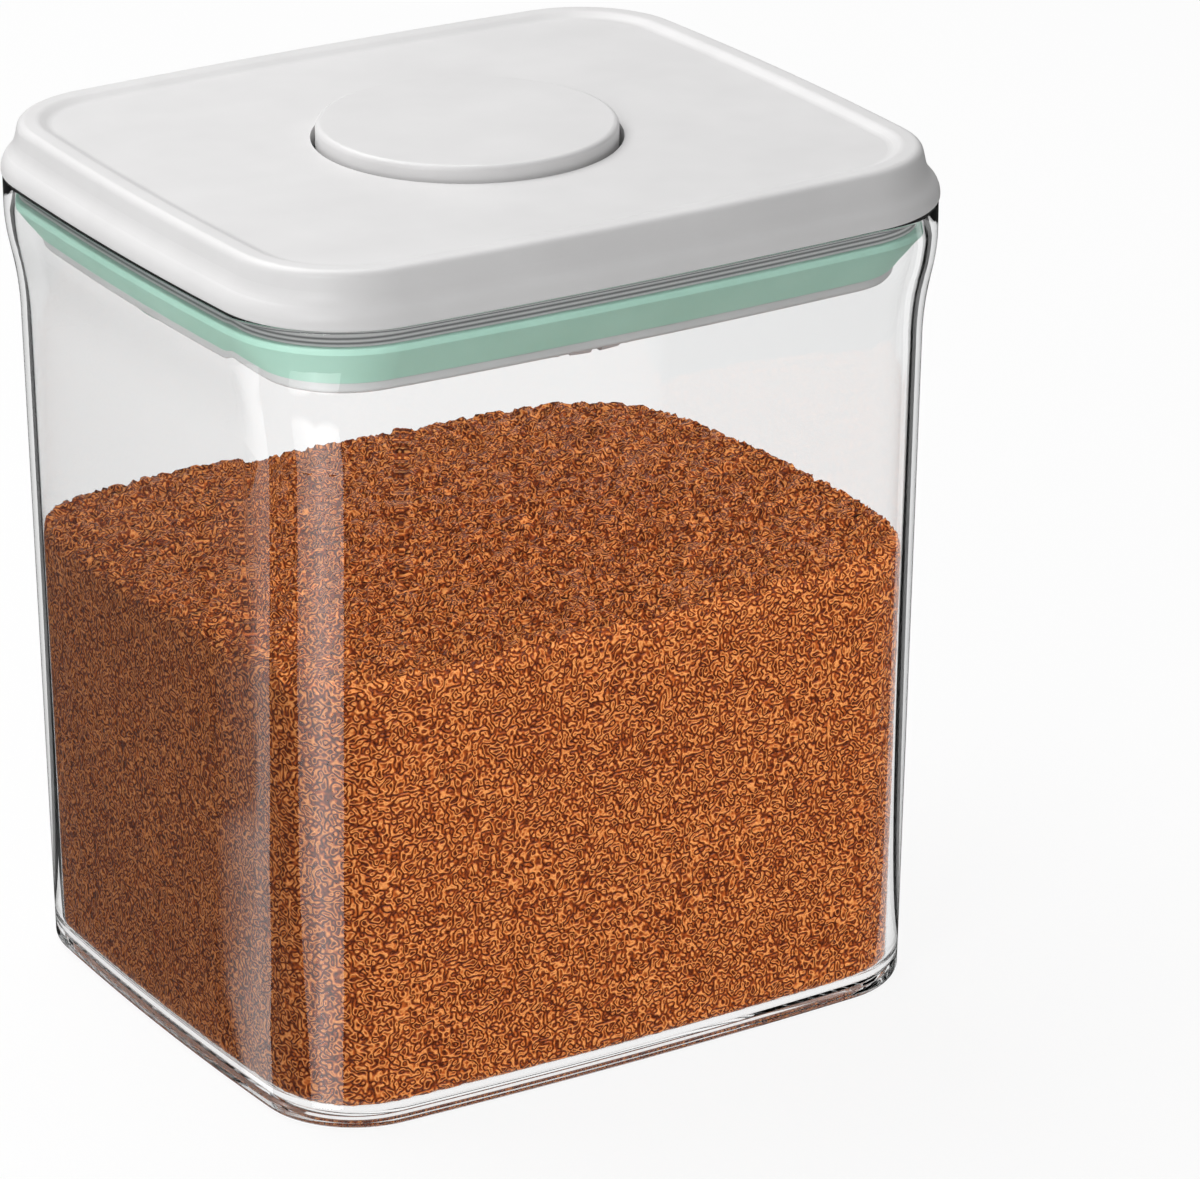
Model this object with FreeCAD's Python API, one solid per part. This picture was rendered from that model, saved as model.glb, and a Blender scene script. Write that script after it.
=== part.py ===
import FreeCAD, Part
import math
import os

os.makedirs("parts", exist_ok=True)

V = FreeCAD.Vector
UP = V(0, 0, 1)
AXIS = V(0, 0, 0)

# Plan: a rectangle with four bowed sides and round corners; every outline is an inset of it
WIDTH = 171.0
DEPTH = 150.2
CORNER_RADIUS = 28.4
SIDE_BOW = 3.1
CORE_INSET = 20.0
CUT_OVERRUN = 2.0

# Clear canister, standing on z = 0; heights of the lid are measured from its rim
RIM_Z = 179.3
WALL = 2.4
FLOOR = 4.0
BASE_INSET = 6.0
NECK_INSET = 3.1
RIM_INSET = 0.3
FLARE_START_DROP = 24.0
FLARE_END_DROP = 10.5
FLARE_START_ROUND = 70.0
FLARE_END_ROUND = 40.0
RIM_ROUND = 0.8
BASE_ROUND = 1.8
INNER_BASE_ROUND = 6.5
FOOT_INSET = 14.0
FOOT_RECESS = 0.8
FOOT_ROUND = 0.6

# Lid cover: brim, hollow flank, rounded crest and a slightly sunk plateau
BRIM_RISE = 2.8
BRIM_EDGE_ROUND = 0.6
BRIM_ROUND = 5.0
FLANK_INSET = 2.75
FLANK_RISE = 5.8
FLANK_ROUND = 6.0
CREST_INSET = 4.0
CREST_RISE = 11.4
CREST_ROUND = 1.9
CREST_END_INSET = 8.2
CREST_END_ROUND = 2.5
PLATEAU_INSET = 10.6
PLATEAU_RISE = 10.3
PLATEAU_ROUND = 3.0
COVER_WALL = 2.2
COVER_INNER_ROUND = 1.2
SPIGOT_INSET = 4.2
SPIGOT_WALL = 2.0

# Base plate under the lid and the gasket round it
SEAT_DROP = 4.3
PLATE_TOP_DROP = 13.6
PLATE_THICKNESS = 2.5
PLATE_INSET = 9.6
PLATE_ROUND = 1.0
LIP_INSET = 3.1
LIP_HEIGHT = 1.4
LIP_WALL = 2.8
GASKET_FOOT_INSET = 9.0
GASKET_LEG_INSET = 12.6
GASKET_LEG_WALL = 1.7
GASKET_LEG_HEIGHT = 7.5
GASKET_FOOT_HEIGHT = 3.1
GASKET_EDGE_ROUND = 0.5

# Corner pillars that join plate, retainer and cover
PILLAR_RADIUS = 4.2
PIN_RADIUS = 2.35
PIN_FIT = 0.05
PIN_LENGTH = 9.0
BORE_MARGIN = 1.0

# Push button and its well
BUTTON_RADIUS = 32.2
BUTTON_GAP = 1.1
BUTTON_RISE = 13.7
BUTTON_TOP = 2.4
BUTTON_ROUND = 1.2
SKIRT_WALL = 2.0
SKIRT_DROP = 8.2
SKIRT_LIP_REACH = 2.6
SKIRT_LIP_HEIGHT = 1.8
WELL_WALL = 2.0
BUTTON_TRAVEL = 12.0
OVERTRAVEL = 1.2
STOP_GAP = 0.1

# Wedge plunger under the button; its slope turns lift into pusher travel
PUSHER_TRAVEL = 2.0
SLOPE = PUSHER_TRAVEL / BUTTON_TRAVEL
PLUNGER_TOP_RISE = 4.7
PLUNGER_FLOOR_GAP = 0.6
PLUNGER_HALF_TOP = 18.5
PLUNGER_ROOF = 2.5
PLUNGER_BORE = 11.5
BOSS_RADIUS = 5.0
BOSS_TOP_WALL = 1.6
SCREW_RADIUS = 1.5
SCREW_FIT = 0.05
SCREW_HEAD_RADIUS = 3.0
SCREW_HEAD_HEIGHT = 1.5
SCREW_TIP_GAP = 0.5
SCREW_SLOT_WIDTH = 0.8
SCREW_SLOT_DEPTH = 0.7

# Coil spring under the plunger
SPRING_RADIUS = 9.0
SPRING_WIRE = 0.6
SPRING_TURNS = 5.0
SPRING_BOSS_RADIUS = 7.6
SPRING_BOSS_HEIGHT = 2.5

# Latch: heart-shaped island in a pocket of the plunger, followed by a steel wire
LATCH_ANGLE = 225.0
LATCH_FLAT = 18.5
LATCH_DROP = 2.8
LATCH_POCKET_HALF = 2.9
LATCH_POCKET_DEPTH = 1.8
LATCH_POCKET_ABOVE = 2.2
LATCH_POCKET_MARGIN = 0.8
LATCH_POCKET_ROUND = 1.0
HEART_HALF = 1.5
HEART_WAIST = 1.4
HEART_LOBE_DROP = 0.4
HEART_CLEFT_DROP = 1.0
HEART_WAIST_DROP = 4.0
HEART_TIP_DROP = 8.5
WIRE_RADIUS = 0.6
WIRE_BEND = 1.5
WIRE_STAND_OFF = 2.6
WIRE_TIP_GAP = 0.4
KEEPER_START = 19.2
KEEPER_END = 29.2
KEEPER_HALF = 3.4
KEEPER_HEIGHT = 2.6
KEEPER_PAD = 1.4
KEEPER_SCREW_AT = 25.6
KEEPER_SCREW_RADIUS = 1.0
KEEPER_HEAD_RADIUS = 2.0
KEEPER_HEAD_HEIGHT = 1.0
KEEPER_SCREW_SKIN = 0.6

# Four pushers that spread the gasket, their rails and the retainer over them
SLIDE_GAP = 0.1
WEDGE_GAP = 0.1
BAR_HALF = 6.0
BAR_HEIGHT = 3.6
RAIL_GAP = 0.3
RAIL_WALL = 2.0
RAIL_START = 38.0
RAIL_HEIGHT = 4.0
UPSTAND_OUTER = 23.0
UPSTAND_TOP_RISE = 2.7
PUSHER_GASKET_GAP = 0.5
CROSSBAR_WALL = 3.0
CROSSBAR_HEIGHT = 6.0
CROSSBAR_MARGIN_X = 38.0
CROSSBAR_MARGIN_Y = 38.0
RETAINER_HOLE = 36.2
RETAINER_INSET = 19.2
RETAINER_THICKNESS = 1.5

# Vent cage with the terracotta disc, hung under the plate
CAGE_X = 2.0
CAGE_Y_SHARE = -0.18
CAGE_TOP_GAP = 0.1
CAGE_FLANGE_RADIUS = 37.0
CAGE_FLANGE_HEIGHT = 1.7
CAGE_BASE_RADIUS = 36.0
CAGE_FACE_RADIUS = 34.4
CAGE_HEIGHT = 8.0
CAGE_FACE_WALL = 1.6
CAGE_FACE_ROUND = 1.4
CAGE_BORE = 32.9
SLOT_COUNT = 30
SLOT_WIDTH = 2.5
SLOT_START = 20.6
SLOT_END = 35.4
SLOT_DEPTH = 4.6
WINDOW_RADIUS = 18.2
WINDOW_RING = 1.4
WINDOW_RING_HEIGHT = 0.7
TONGUE_REACH = 38.9
TONGUE_HALF = 3.65
HOOK_START = 39.4
HOOK_WALL = 2.4
HOOK_HALF = 7.2
HOOK_LIP_START = 37.6
HOOK_LIP_GAP = 0.3
HOOK_LIP_HEIGHT = 1.5
TAB_HALF = 4.7
TAB_START = 38.2
TAB_WALL = 3.6
TAB_HEIGHT = 4.2
DISC_RADIUS = 32.5
DISC_TOP_GAP = 0.4
DISC_ROUND = 0.8

# Dosing scoop and the clip that holds its rim
SCOOP_TURN = 2.3
BOWL_EDGE_X = 32.0
BOWL_EDGE_Y = 23.5
BOWL_RADIUS = 17.2
BOWL_WALL = 1.5
BOWL_STRAIGHT = 3.0
BOWL_ROUND_SHARE = 0.98
BOWL_RIM_RADIUS = 18.4
BOWL_RIM_HEIGHT = 1.5
SCOOP_TOP_GAP = 0.3
HOLE_RADIUS = 0.75
HOLE_PITCH = 4.2
HANDLE_REACH = 85.4
HANDLE_HALF_ROOT = 8.2
HANDLE_HALF_END = 5.2
HANDLE_HEIGHT = 2.8
HANDLE_RIM = 1.2
HANDLE_POCKET = 1.5
HANDLE_POCKET_ROOT = 2.7
HANDLE_END_SHARE = 0.85
HANDLE_WINDOW_START = 18.9
HANDLE_WINDOW_LENGTH = 11.6
HANDLE_WINDOW_HALF = 5.2
HANDLE_WINDOW_ROUND = 1.8
CLIP_RADIUS = 21.6
CLIP_SEAT_RADIUS = 18.8
CLIP_LIP_RADIUS = 17.6
CLIP_HEIGHT = 5.2
CLIP_LIP_GAP = 0.3
CLIP_HALF_ANGLE = 65.0
CLIP_ROUND = 0.8

# Raised guide arcs on the underside of the plate
ARC_RADIUS = 57.0
ARC_WIDTH = 1.1
ARC_HEIGHT = 0.35
ARC_HALF_ANGLE = 33.0
ARC_CLIP_ANGLE = 19.0

# Heights that follow from the values above
HALF_W = WIDTH / 2
HALF_D = DEPTH / 2
SIDE_RADIUS_X = HALF_D * HALF_D / (2 * SIDE_BOW)
SIDE_RADIUS_Y = HALF_W * HALF_W / (2 * SIDE_BOW)
PLATEAU_Z = RIM_Z + PLATEAU_RISE
CEILING_Z = PLATEAU_Z - COVER_WALL
SEAT_Z = RIM_Z - SEAT_DROP
PLATE_TOP_Z = RIM_Z - PLATE_TOP_DROP
PLATE_Z = PLATE_TOP_Z - PLATE_THICKNESS
RETAINER_Z = PLATE_TOP_Z + RAIL_HEIGHT
RETAINER_TOP_Z = RETAINER_Z + RETAINER_THICKNESS
BUTTON_Z = RIM_Z + BUTTON_RISE
BUTTON_ROOF_Z = BUTTON_Z - BUTTON_TOP
SKIRT_Z = RIM_Z - SKIRT_DROP
WELL_Z = SKIRT_Z + SKIRT_LIP_HEIGHT + BUTTON_TRAVEL + STOP_GAP
WELL_RADIUS = BUTTON_RADIUS + BUTTON_GAP
PLUNGER_TOP_Z = RIM_Z + PLUNGER_TOP_RISE
PLUNGER_Z = PLATE_TOP_Z + OVERTRAVEL + PLUNGER_FLOOR_GAP
PLUNGER_ROOF_Z = PLUNGER_TOP_Z - PLUNGER_ROOF
BOSS_BORE_TOP_Z = BUTTON_ROOF_Z - BOSS_TOP_WALL
LATCH_Z = PLUNGER_TOP_Z - LATCH_DROP
CAGE_TOP_Z = PLATE_Z - CAGE_TOP_GAP
CAGE_FLANGE_Z = CAGE_TOP_Z - CAGE_FLANGE_HEIGHT
CAGE_FACE_Z = CAGE_TOP_Z - CAGE_HEIGHT
CAGE_Y = CAGE_Y_SHARE * HALF_D
SCOOP_TOP_Z = PLATE_Z - SCOOP_TOP_GAP
BOWL_X = BOWL_EDGE_X + PLATE_INSET - HALF_W
BOWL_Y = HALF_D - PLATE_INSET - BOWL_EDGE_Y


# Helpers for outlines

def rounded_path(corners, place):
    """Closed wire through (u, v, rounding) corners, each placed in space by the given function."""
    count = len(corners)
    starts, ends, middles = [], [], []
    for index in range(count):
        u, v, rounding = corners[index]
        before = corners[index - 1]
        after = corners[(index + 1) % count]
        to_before = V(before[0] - u, before[1] - v, 0).normalize()
        to_after = V(after[0] - u, after[1] - v, 0).normalize()
        here = V(u, v, 0)
        if not rounding:
            starts.append(here)
            ends.append(here)
            middles.append(None)
            continue
        half = to_before.getAngle(to_after) / 2
        run = rounding / math.tan(half)
        inward = (to_before + to_after).normalize()
        centre = here + inward * (rounding / math.sin(half))
        starts.append(here + to_before * run)
        ends.append(here + to_after * run)
        middles.append(centre - inward * rounding)
    edges = []
    for index in range(count):
        if middles[index] is not None:
            points = [place(p.x, p.y) for p in (starts[index], middles[index], ends[index])]
            edges.append(Part.Arc(*points).toShape())
        following = starts[(index + 1) % count]
        edges.append(Part.makeLine(place(ends[index].x, ends[index].y), place(following.x, following.y)))
    return Part.Wire(edges)


def plan_arcs(inset):
    """Centre, radius, start and sweep of the eight arcs of the plan, at an inset from its edge."""
    side_x = V(HALF_W - SIDE_RADIUS_X, 0, 0)
    side_y = V(0, HALF_D - SIDE_RADIUS_Y, 0)
    reach_x = SIDE_RADIUS_X - CORNER_RADIUS
    reach_y = SIDE_RADIUS_Y - CORNER_RADIUS
    between = side_y - side_x
    span = between.Length
    along = (reach_x * reach_x - reach_y * reach_y + span * span) / (2 * span)
    aside = math.sqrt(reach_x * reach_x - along * along)
    direction = between * (1 / span)
    corner = side_x + direction * along + V(direction.y, -direction.x, 0) * -aside
    if corner.x < 0 or corner.y < 0:
        corner = side_x + direction * along + V(direction.y, -direction.x, 0) * aside
    turn_x = math.degrees(math.atan2(corner.y - side_x.y, corner.x - side_x.x))
    turn_y = math.degrees(math.atan2(corner.y - side_y.y, corner.x - side_y.x))
    arcs = []
    for half_turn, sign in ((0, 1), (180, -1)):
        arcs.append((side_x * sign, SIDE_RADIUS_X - inset, half_turn - turn_x, 2 * turn_x))
        arcs.append((corner * sign, CORNER_RADIUS - inset, half_turn + turn_x, turn_y - turn_x))
        arcs.append((side_y * sign, SIDE_RADIUS_Y - inset, half_turn + turn_y, 180 - 2 * turn_y))
        other = V(-corner.x, corner.y, 0) * sign
        arcs.append((other, CORNER_RADIUS - inset, half_turn + 180 - turn_y, turn_y - turn_x))
    return arcs


def plan_prism(inset, low, high):
    """Upright block with the plan's outline at an inset."""
    edges = []
    for centre, radius, start, sweep in plan_arcs(inset):
        edges.append(Part.makeCircle(radius, centre + UP * low, UP, start, start + sweep))
    return Part.Face(Part.Wire(edges)).extrude(UP * (high - low))


def plan_sweep(corners):
    """Ring that carries one (inset, height, rounding) outline round the whole plan."""
    faces = []
    for centre, radius, start, sweep in plan_arcs(0):
        out = V(math.cos(math.radians(start)), math.sin(math.radians(start)), 0)

        def place(inset, height, centre=centre, radius=radius, out=out):
            return centre + out * (radius - inset) + UP * height

        faces += rounded_path(corners, place).revolve(centre, UP, sweep).Faces
    skin = Part.Compound(faces)
    skin.sewShape()
    ring = Part.Solid(skin.Shells[0])
    if ring.Volume < 0:
        ring.reverse()
    return ring


def turned(corners, centre=AXIS):
    """Solid turned about an upright axis from a (radius, height, rounding) outline."""
    wire = rounded_path(corners, lambda radius, height: centre + V(radius, 0, height))
    return Part.Face(wire).revolve(centre, UP, 360)


def prism(corners, low, high):
    """Upright block from an (x, y, rounding) outline."""
    wire = rounded_path(corners, lambda x, y: V(x, y, low))
    return Part.Face(wire).extrude(UP * (high - low))


def post(radius, low, high, centre=AXIS):
    return Part.makeCylinder(radius, high - low, centre + UP * low, UP)


def block(x0, x1, y0, y1, z0, z1):
    return Part.makeBox(x1 - x0, y1 - y0, z1 - z0, V(x0, y0, z0))


def spun(shape, angle, centre=AXIS):
    copy = shape.copy()
    copy.rotate(centre, UP, angle)
    return copy


def moved(shape, x, y):
    copy = shape.copy()
    copy.translate(V(x, y, 0))
    return copy


def corner_points():
    """Centres of the four round corners of the plan."""
    return [arc[0] for arc in plan_arcs(0)[1::2]]


def half_at(z):
    """Half width of the wedge plunger at a height."""
    return PLUNGER_HALF_TOP - (PLUNGER_TOP_Z - z) * SLOPE


# The pieces

def canister():
    flare_z = RIM_Z - FLARE_START_DROP
    neck_z = RIM_Z - FLARE_END_DROP
    shell = plan_sweep([
        (CORE_INSET, FOOT_RECESS, 0),
        (FOOT_INSET, FOOT_RECESS, FOOT_ROUND),
        (FOOT_INSET - FOOT_RECESS, 0, FOOT_ROUND),
        (BASE_INSET, 0, BASE_ROUND),
        (NECK_INSET, flare_z, FLARE_START_ROUND),
        (RIM_INSET, neck_z, FLARE_END_ROUND),
        (RIM_INSET, RIM_Z, RIM_ROUND),
        (RIM_INSET + WALL, RIM_Z, RIM_ROUND),
        (RIM_INSET + WALL, neck_z, FLARE_END_ROUND),
        (NECK_INSET + WALL, flare_z, FLARE_START_ROUND),
        (BASE_INSET + WALL, FLOOR, INNER_BASE_ROUND),
        (CORE_INSET, FLOOR, 0),
    ])
    return shell.fuse(plan_prism(CORE_INSET, FOOT_RECESS, FLOOR))


def lid_cover():
    border = plan_sweep([
        (0, RIM_Z, BRIM_EDGE_ROUND),
        (0, RIM_Z + BRIM_RISE, BRIM_ROUND),
        (FLANK_INSET, RIM_Z + FLANK_RISE, FLANK_ROUND),
        (CREST_INSET, RIM_Z + CREST_RISE, CREST_ROUND),
        (CREST_END_INSET, RIM_Z + CREST_RISE, CREST_END_ROUND),
        (PLATEAU_INSET, PLATEAU_Z, PLATEAU_ROUND),
        (CORE_INSET, PLATEAU_Z, 0),
        (CORE_INSET, CEILING_Z, 0),
        (SPIGOT_INSET + SPIGOT_WALL, CEILING_Z, COVER_INNER_ROUND),
        (SPIGOT_INSET + SPIGOT_WALL, SEAT_Z, 0),
        (SPIGOT_INSET, SEAT_Z, 0),
        (SPIGOT_INSET, RIM_Z, 0),
    ])
    pieces = [plan_prism(CORE_INSET, CEILING_Z, PLATEAU_Z)]
    pieces.append(post(WELL_RADIUS + WELL_WALL, WELL_Z, PLATEAU_Z))
    cuts = [post(WELL_RADIUS, WELL_Z - CUT_OVERRUN, PLATEAU_Z + CUT_OVERRUN)]
    for point in corner_points():
        pieces.append(post(PILLAR_RADIUS, RETAINER_TOP_Z, CEILING_Z, point))
        bore_top = RETAINER_Z + PIN_LENGTH + BORE_MARGIN
        cuts.append(post(PIN_RADIUS + PIN_FIT, RETAINER_TOP_Z - CUT_OVERRUN, bore_top, point))
    return border.fuse(pieces).cut(cuts)


def hook_set():
    """Hooks and stop that hold the cage, drawn about the cage centre."""
    lip_top = CAGE_FLANGE_Z - HOOK_LIP_GAP
    lip_low = lip_top - HOOK_LIP_HEIGHT
    solids = []
    for angle in (0, 180):
        wall = block(HOOK_START, HOOK_START + HOOK_WALL, -HOOK_HALF, HOOK_HALF, lip_low, PLATE_Z)
        lip = block(HOOK_LIP_START, HOOK_START, -HOOK_HALF, HOOK_HALF, lip_low, lip_top)
        solids.append(spun(wall.fuse(lip), angle))
    tab_low = PLATE_Z - TAB_HEIGHT
    solids.append(block(-TAB_HALF, TAB_HALF, TAB_START, TAB_START + TAB_WALL, tab_low, PLATE_Z))
    return [moved(solid, CAGE_X, CAGE_Y) for solid in solids]


def guide_arcs():
    """Two shallow raised arcs on the underside; the one by the scoop stops short of its clip."""
    arcs = []
    low = PLATE_Z - ARC_HEIGHT
    for start, end in ((-ARC_HALF_ANGLE, ARC_HALF_ANGLE), (180 - ARC_CLIP_ANGLE, 180 + ARC_HALF_ANGLE)):
        section = Part.makePolygon([
            V(ARC_RADIUS, 0, low),
            V(ARC_RADIUS + ARC_WIDTH, 0, low),
            V(ARC_RADIUS + ARC_WIDTH, 0, PLATE_Z),
            V(ARC_RADIUS, 0, PLATE_Z),
            V(ARC_RADIUS, 0, low),
        ])
        arcs.append(spun(Part.Face(section).revolve(AXIS, UP, end - start), start))
    return arcs


def rails():
    """Guide rails beside the four pusher bars."""
    solids = []
    for half_span, angle in side_list():
        end = half_span - GASKET_LEG_INSET - PUSHER_GASKET_GAP - CROSSBAR_WALL - PUSHER_TRAVEL - RAIL_WALL
        inner = BAR_HALF + RAIL_GAP
        for low in (inner, -inner - RAIL_WALL):
            rail = block(RAIL_START, end, low, low + RAIL_WALL, PLATE_TOP_Z, RETAINER_Z)
            solids.append(spun(rail, angle))
    return solids


def base_plate():
    border = plan_sweep([
        (CORE_INSET, PLATE_Z, 0),
        (PLATE_INSET, PLATE_Z, PLATE_ROUND),
        (PLATE_INSET, PLATE_TOP_Z, 0),
        (CORE_INSET, PLATE_TOP_Z, 0),
    ])
    pieces = [plan_prism(CORE_INSET, PLATE_Z, PLATE_TOP_Z)]
    pieces.append(post(SPRING_BOSS_RADIUS, PLATE_TOP_Z, PLATE_TOP_Z + SPRING_BOSS_HEIGHT))
    for point in corner_points():
        pieces.append(post(PILLAR_RADIUS, PLATE_TOP_Z, RETAINER_Z, point))
        pieces.append(post(PIN_RADIUS, RETAINER_Z, RETAINER_Z + PIN_LENGTH, point))
    pad = block(KEEPER_START, KEEPER_END, -KEEPER_HALF, KEEPER_HALF, PLATE_TOP_Z, PLATE_TOP_Z + KEEPER_PAD)
    pieces.append(spun(pad, LATCH_ANGLE))
    pieces += rails() + hook_set() + guide_arcs()
    hole_low = PLATE_Z + KEEPER_SCREW_SKIN
    hole_high = PLATE_TOP_Z + KEEPER_PAD + CUT_OVERRUN
    screw_hole = post(KEEPER_SCREW_RADIUS + SCREW_FIT, hole_low, hole_high, V(KEEPER_SCREW_AT, 0, 0))
    return border.fuse(pieces).cut(spun(screw_hole, LATCH_ANGLE))


def gasket():
    lip_z = SEAT_Z - LIP_HEIGHT
    foot_z = PLATE_TOP_Z + GASKET_FOOT_HEIGHT
    leg_inner = GASKET_LEG_INSET - GASKET_LEG_WALL
    return plan_sweep([
        (LIP_INSET, SEAT_Z, GASKET_EDGE_ROUND),
        (LIP_INSET, lip_z, GASKET_EDGE_ROUND),
        (GASKET_FOOT_INSET, PLATE_TOP_Z, 0),
        (GASKET_LEG_INSET, PLATE_TOP_Z, 0),
        (GASKET_LEG_INSET, PLATE_TOP_Z + GASKET_LEG_HEIGHT, GASKET_EDGE_ROUND),
        (leg_inner, PLATE_TOP_Z + GASKET_LEG_HEIGHT, GASKET_EDGE_ROUND),
        (leg_inner, foot_z, GASKET_EDGE_ROUND),
        (LIP_INSET + LIP_WALL, SEAT_Z, 0),
    ])


def button_cap():
    inner = BUTTON_RADIUS - SKIRT_WALL
    lip = BUTTON_RADIUS + SKIRT_LIP_REACH
    lip_top = SKIRT_Z + SKIRT_LIP_HEIGHT
    cap = turned([
        (0, BUTTON_Z, 0),
        (BUTTON_RADIUS, BUTTON_Z, BUTTON_ROUND),
        (BUTTON_RADIUS, lip_top, 0),
        (lip, lip_top, 0),
        (lip, SKIRT_Z, 0),
        (inner, SKIRT_Z, 0),
        (inner, BUTTON_ROOF_Z, 0),
        (BOSS_RADIUS, BUTTON_ROOF_Z, 0),
        (BOSS_RADIUS, PLUNGER_TOP_Z, 0),
        (0, PLUNGER_TOP_Z, 0),
    ])
    return cap.cut(post(SCREW_RADIUS + SCREW_FIT, PLUNGER_TOP_Z - CUT_OVERRUN, BOSS_BORE_TOP_Z))


def square(half, z):
    corners = [V(half, half, z), V(-half, half, z), V(-half, -half, z), V(half, -half, z)]
    return Part.makePolygon(corners + corners[:1])


def latch_outline(corners, depth_low, depth_high):
    """Block from an outline on the latch flat, drawn facing +X."""
    wire = rounded_path(corners, lambda across, height: V(depth_low, across, height))
    return Part.Face(wire).extrude(V(depth_high - depth_low, 0, 0))


def plunger():
    ends = [square(half_at(PLUNGER_Z), PLUNGER_Z), square(PLUNGER_HALF_TOP, PLUNGER_TOP_Z)]
    body = Part.makeLoft(ends, True, True)
    body = body.cut([
        post(PLUNGER_BORE, PLUNGER_Z - CUT_OVERRUN, PLUNGER_ROOF_Z),
        post(SCREW_RADIUS + SCREW_FIT, PLUNGER_ROOF_Z - CUT_OVERRUN, PLUNGER_TOP_Z + CUT_OVERRUN),
    ])
    wide = 2 * PLUNGER_HALF_TOP
    flat = block(LATCH_FLAT, wide, -wide, wide, PLUNGER_Z - CUT_OVERRUN, PLUNGER_TOP_Z + CUT_OVERRUN)
    floor = LATCH_FLAT - LATCH_POCKET_DEPTH
    low = LATCH_Z - BUTTON_TRAVEL - LATCH_POCKET_MARGIN
    high = LATCH_Z + LATCH_POCKET_ABOVE
    half = LATCH_POCKET_HALF
    corners = [(-half, low), (half, low), (half, high), (-half, high)]
    pocket = latch_outline([(a, h, LATCH_POCKET_ROUND) for a, h in corners], floor, LATCH_FLAT + CUT_OVERRUN)
    heart = latch_outline([
        (0, LATCH_Z - HEART_TIP_DROP, 0),
        (HEART_WAIST, LATCH_Z - HEART_WAIST_DROP, 0),
        (HEART_HALF, LATCH_Z - HEART_LOBE_DROP, 0),
        (0, LATCH_Z - HEART_CLEFT_DROP, 0),
        (-HEART_HALF, LATCH_Z - HEART_LOBE_DROP, 0),
        (-HEART_WAIST, LATCH_Z - HEART_WAIST_DROP, 0),
    ], floor, LATCH_FLAT)
    body = body.cut(spun(flat, LATCH_ANGLE))
    return body.cut(spun(pocket.cut(heart), LATCH_ANGLE))


def plunger_screw():
    head_low = PLUNGER_ROOF_Z - SCREW_HEAD_HEIGHT
    head = post(SCREW_HEAD_RADIUS, head_low, PLUNGER_ROOF_Z)
    shank = post(SCREW_RADIUS, PLUNGER_ROOF_Z, BOSS_BORE_TOP_Z - SCREW_TIP_GAP)
    half = SCREW_SLOT_WIDTH / 2
    long = SCREW_HEAD_RADIUS - SCREW_SLOT_WIDTH
    slot = block(-long, long, -half, half, head_low - CUT_OVERRUN, head_low + SCREW_SLOT_DEPTH)
    return head.fuse(shank).cut([slot, spun(slot, 90)])


def button_spring():
    height = PLUNGER_ROOF_Z - PLATE_TOP_Z
    helix = Part.makeHelix(height / SPRING_TURNS, height, SPRING_RADIUS)
    helix.translate(UP * PLATE_TOP_Z)
    section = Part.Wire(Part.makeCircle(SPRING_WIRE, V(SPRING_RADIUS, 0, PLATE_TOP_Z), V(0, 1, 0)))
    coil = helix.makePipeShell([section], True, True)
    wide = 2 * SPRING_RADIUS
    return coil.common(block(-wide, wide, -wide, wide, PLATE_TOP_Z, PLUNGER_ROOF_Z))


def latch_wire():
    stand = LATCH_FLAT + WIRE_STAND_OFF
    tip = LATCH_FLAT - LATCH_POCKET_DEPTH + WIRE_TIP_GAP
    foot = PLATE_TOP_Z + KEEPER_PAD
    bend = stand - WIRE_BEND
    upright = Part.makeLine(V(stand, 0, foot), V(stand, 0, LATCH_Z - WIRE_BEND))
    aside = WIRE_BEND * math.cos(math.pi / 4)
    middle = V(bend + aside, 0, LATCH_Z - WIRE_BEND + aside)
    elbow = Part.Arc(V(stand, 0, LATCH_Z - WIRE_BEND), middle, V(bend, 0, LATCH_Z)).toShape()
    finger = Part.makeLine(V(bend, 0, LATCH_Z), V(tip, 0, LATCH_Z))
    section = Part.Wire(Part.makeCircle(WIRE_RADIUS, V(stand, 0, foot), UP))
    return spun(Part.Wire([upright, elbow, finger]).makePipeShell([section], True, True), LATCH_ANGLE)


def wire_keeper():
    low = PLATE_TOP_Z + KEEPER_PAD
    body = block(KEEPER_START, KEEPER_END, -KEEPER_HALF, KEEPER_HALF, low, low + KEEPER_HEIGHT)
    stand = V(LATCH_FLAT + WIRE_STAND_OFF, 0, 0)
    below, above = low - CUT_OVERRUN, low + KEEPER_HEIGHT + CUT_OVERRUN
    wire_hole = post(WIRE_RADIUS + SCREW_FIT, below, above, stand)
    at = V(KEEPER_SCREW_AT, 0, 0)
    screw_hole = post(KEEPER_SCREW_RADIUS + SCREW_FIT, below, above, at)
    return spun(body.cut([wire_hole, screw_hole]), LATCH_ANGLE)


def keeper_screw():
    at = V(KEEPER_SCREW_AT, 0, 0)
    top = PLATE_TOP_Z + KEEPER_PAD + KEEPER_HEIGHT
    shank = post(KEEPER_SCREW_RADIUS, PLATE_Z + KEEPER_SCREW_SKIN + SCREW_TIP_GAP, top, at)
    head = post(KEEPER_HEAD_RADIUS, top, top + KEEPER_HEAD_HEIGHT, at)
    return spun(shank.fuse(head), LATCH_ANGLE)


def side_list():
    """Half span and heading of the right, back, left and front sides."""
    return [(HALF_W, 0), (HALF_D, 90), (HALF_W, 180), (HALF_D, 270)]


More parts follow.
